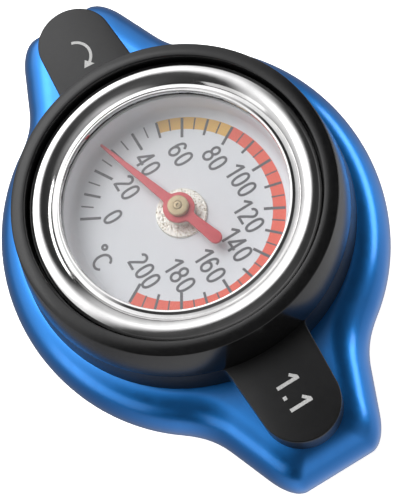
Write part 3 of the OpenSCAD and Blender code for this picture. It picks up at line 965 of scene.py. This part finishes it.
def rounded_box(name, x0, x1, width, z0, z1, r, turn):
    """Cutter for one window of the cage, along a radius at the given angle."""
    prof = fillet([(-width / 2, z0, r), (width / 2, z0, r), (width / 2, z1, r), (-width / 2, z1, r)], 6)
    c, s = math.cos(turn), math.sin(turn)
    loops = [[(x * c - y * s, x * s + y * c, z) for y, z in prof] for x in (x0, x1)]
    v, f = skin(loops, closed=False)
    m = len(prof)
    f += [tuple(range(m)), tuple(m + k for k in range(m - 1, -1, -1))]
    return build(name, (v, f))


cage = build("valve_cage_pressing", lathe(fillet([(5.1, 0.8), (11.8, 0.8, 0.3), (11.8, -10.8, 0.2), (10.2, -10.8), (10.2, -11.6), (12.6, -11.6, 0.5),
                                                  (12.6, 1.6, 0.4), (5.1, 1.6)], 5), 240))
cut(cage, [rounded_box("window", 8.0, 15.0, 6.0, -9.2, -2.2, 0.8, math.radians(30 + 60 * k)) for k in range(6)])
put(cage, M["plated"], "cap_body", "valve_cage")

spring = build("pressure_spring_coil", coil(10.0, -10 + 0.82, 0.8 - 0.82, 4.5, 0.8, 0.18), 50)
put(spring, M["steel"], "cap_body", "pressure_spring")
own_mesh(spring)


# ---------------------------------------------------------------- valves

plate = build("valve_plate_pressing", lathe(fillet([(5.26, -16.4), (13.0, -16.4, 0.2), (13.0, -15.4, 0.2), (9.8, -15.4, 0.3), (9.8, -10.8, 0.2), (11.5, -10.8, 0.15),
                                                    (11.5, -10.0, 0.2), (9.0, -10.0, 0.3), (9.0, -15.4, 0.2), (6.0, -15.4, 0.2), (6.0, -13.8, 0.15), (5.26, -13.8)], 4), 192))
holes = []
for k in range(6):
    a = TAU * k / 6
    v, f = lathe([(0, -17.5), (1.0, -17.5), (1.0, -14.5), (0, -14.5)], 32)
    holes.append(build("hole", ([(x + 7.9 * math.cos(a), y + 7.9 * math.sin(a), z) for x, y, z in v], f)))
cut(plate, holes)
put(plate, M["plated"], "pressure_valve_set", "valve_plate")

put(build("pressure_seal_ring", lathe(fillet([(8.8, -16.4), (14.0, -16.4, 0.3), (14.0, -20.0, 0.5), (11.5, -20.0, 0.4), (11.2, -18.4, 0.3), (8.8, -18.4, 0.1)], 6), 224)),
    M["rubber"], "pressure_valve_set", "pressure_seal")

put(build("vacuum_valve_disc", lathe(fillet([(4.06, -19.38), (10.6, -19.38, 0.4), (10.6, -18.48, 0.2), (5.2, -18.48, 0.3), (5.2, -8.0, 0.12), (4.06, -8.0, 0.1)], 5), 192)),
    M["brass"], "vacuum_valve_set", "vacuum_valve")

small = build("vacuum_spring_coil", coil(6.5, -15.4 + 0.32, -8.6 - 0.32, 4.0, 0.3, 0.12), 50)
put(small, M["steel"], "pressure_valve_set", "vacuum_spring")
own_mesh(small)

put(build("vacuum_clip_ring", lathe(fillet([(5.2, -8.6), (7.4, -8.6, 0.1), (7.4, -8.0, 0.1), (5.2, -8.0)]), 128)),
    M["zinc"], "vacuum_valve_set", "vacuum_clip")


# ---------------------------------------------------------------- inner pieces that keep their own solids

for name, mat in (("lens_gasket", "rubber"), ("spindle_guide", "brass"), ("bimetal_coil", "bimetal"), ("gauge_case", "case"),
                  ("case_seal", "fibre"), ("stem_nut", "brass"), ("stem_washer", "zinc")):
    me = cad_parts[name].data
    me.materials.clear()
    me.materials.append(M[mat])


# ---------------------------------------------------------------- floor, light and camera

def make_floor():
    size = 2.5
    z = -0.03402
    me = bpy.data.meshes.new("floor")
    me.from_pydata([(-size, -size, z), (size, -size, z), (size, size, z), (-size, size, z)], [], [(0, 1, 2, 3)])
    ob = bpy.data.objects.new("floor", me)
    scene.collection.objects.link(ob)
    m, nt, b = finish_base("pale_floor")
    v = place(nt)
    nt.links.new(shades(nt, grain(nt, v, 30.0, 3.0), [(0.3, (0.92, 0.92, 0.92)), (0.7, (0.95, 0.95, 0.95))]), b.inputs["Base Color"])
    b.inputs["Roughness"].default_value = 0.7
    b.inputs["Specular IOR Level"].default_value = 0.2
    b.inputs["Emission Color"].default_value = (1.0, 1.0, 1.0, 1.0)
    b.inputs["Emission Strength"].default_value = 0.75
    clear = node(nt, "ShaderNodeMixShader")
    nt.links.new(node(nt, "ShaderNodeNewGeometry").outputs["Backfacing"], clear.inputs[0])
    nt.links.new(b.outputs["BSDF"], clear.inputs[1])
    nt.links.new(node(nt, "ShaderNodeBsdfTransparent").outputs["BSDF"], clear.inputs[2])
    nt.links.new(clear.outputs[0], nt.nodes["Material Output"].inputs["Surface"])
    me.materials.append(m)
    ob.visible_glossy = False


def make_world():
    w = bpy.data.worlds.new("studio")
    scene.world = w
    w.use_nodes = True
    nt = w.node_tree
    bg = nt.nodes["Background"]
    tc = node(nt, "ShaderNodeTexCoord")
    side = node(nt, "ShaderNodeVectorMath", operation="DOT_PRODUCT")
    nt.links.new(tc.outputs["Generated"], side.inputs[0])
    side.inputs[1].default_value = (-0.454, -0.211, 0.0)
    half = node(nt, "ShaderNodeMath", operation="ADD")
    nt.links.new(side.outputs["Value"], half.inputs[0])
    half.inputs[1].default_value = 0.5
    tones = ((-1.0, 0.62), (-0.88, 0.46), (-0.75, 0.26), (-0.55, 0.07), (-0.1, 0.045), (0.17, 0.05), (0.26, 0.40), (0.36, 0.95), (0.5, 1.05), (1.0, 0.95))
    col = shades(nt, half.outputs[0], [(0.5 + 0.5 * at, (v, v, v * 1.01)) for at, v in tones])
    sep = node(nt, "ShaderNodeSeparateXYZ")
    nt.links.new(tc.outputs["Generated"], sep.inputs[0])
    wide = shades(nt, span(nt, sep.outputs["Y"], 0.0, 1.0, -1.0, 1.0),
                  [(0.0, (0.45,) * 3), (0.2, (0.62,) * 3), (0.38, (1.0,) * 3), (0.53, (1.0,) * 3), (0.7, (0.5,) * 3), (1.0, (0.4,) * 3)])
    dim = node(nt, "ShaderNodeMix", data_type="RGBA", blend_type="MULTIPLY")
    dim.inputs["Factor"].default_value = 1.0
    nt.links.new(col, dim.inputs[6])
    nt.links.new(wide, dim.inputs[7])
    fall = shades(nt, sep.outputs["Z"], [(0.0, (0.7,) * 3), (0.2, (0.8,) * 3), (0.45, (1.0,) * 3), (1.0, (1.0,) * 3)])
    soft = node(nt, "ShaderNodeMix", data_type="RGBA", blend_type="MULTIPLY")
    soft.inputs["Factor"].default_value = 1.0
    nt.links.new(dim.outputs[2], soft.inputs[6])
    nt.links.new(fall, soft.inputs[7])
    low = shades(nt, half.outputs[0], [(0.0, (0.22, 0.22, 0.225)), (0.3, (0.40, 0.40, 0.405)), (0.6, (0.13, 0.13, 0.135)), (1.0, (0.12,) * 3)])
    mix = node(nt, "ShaderNodeMix", data_type="RGBA")
    nt.links.new(span(nt, sep.outputs["Z"], 0.0, 1.0, -0.12, 0.0), mix.inputs["Factor"])
    nt.links.new(low, mix.inputs[6])
    nt.links.new(soft.outputs[2], mix.inputs[7])
    nt.links.new(mix.outputs[2], bg.inputs["Color"])
    bg.inputs["Strength"].default_value = 1.6


def area(name, where, at, size, power, size_y=None, color=(1, 1, 1)):
    d = bpy.data.lights.new(name, "AREA")
    d.energy = power
    d.color = color
    d.shape = "RECTANGLE"
    d.size = size
    d.size_y = size_y or size
    ob = bpy.data.objects.new(name, d)
    p, t = Vector(where), Vector(at)
    ob.location = p
    ob.rotation_euler = (t - p).to_track_quat("-Z", "Y").to_euler()
    scene.collection.objects.link(ob)
    return ob


def make_camera():
    cam = bpy.data.cameras.new("photo_camera")
    cam.sensor_fit = "VERTICAL"
    cam.sensor_height = 36.0
    cam.sensor_width = 36.0
    cam.lens = 104.98
    cam.clip_start = 0.01
    cam.clip_end = 20.0
    ob = bpy.data.objects.new("photo_camera", cam)
    right = Vector((0.49512176, 0.8542483, -0.15847487))
    up = Vector((-0.79288177, 0.51884293, 0.31959429))
    fwd = Vector((-0.35523644, 0.03258625, -0.93420833))
    at = Vector((76.0905, -6.8420, 192.3354)) * MM
    ob.matrix_world = Matrix(((right.x, up.x, -fwd.x, at.x), (right.y, up.y, -fwd.y, at.y), (right.z, up.z, -fwd.z, at.z), (0, 0, 0, 1)))
    scene.collection.objects.link(ob)
    scene.camera = ob


make_floor()
make_world()
area("key_back", (-0.36, -0.16, 0.46), (0, 0, 0), 0.50, 0.55, 0.30)
area("fill_right", (-0.04, 0.61, 0.16), (0, 0, 0), 0.60, 1.15, 0.20)
area("fill_left", (0.10, -0.56, 0.18), (0, 0, 0), 0.42, 0.30, 0.30)
area("fill_top", (-0.22, -0.10, 0.58), (0, 0, 0), 0.38, 2.65).visible_glossy = False
make_camera()
scene.view_settings.view_transform = "Standard"
scene.view_settings.look = "None"
scene.view_settings.exposure = 0.0
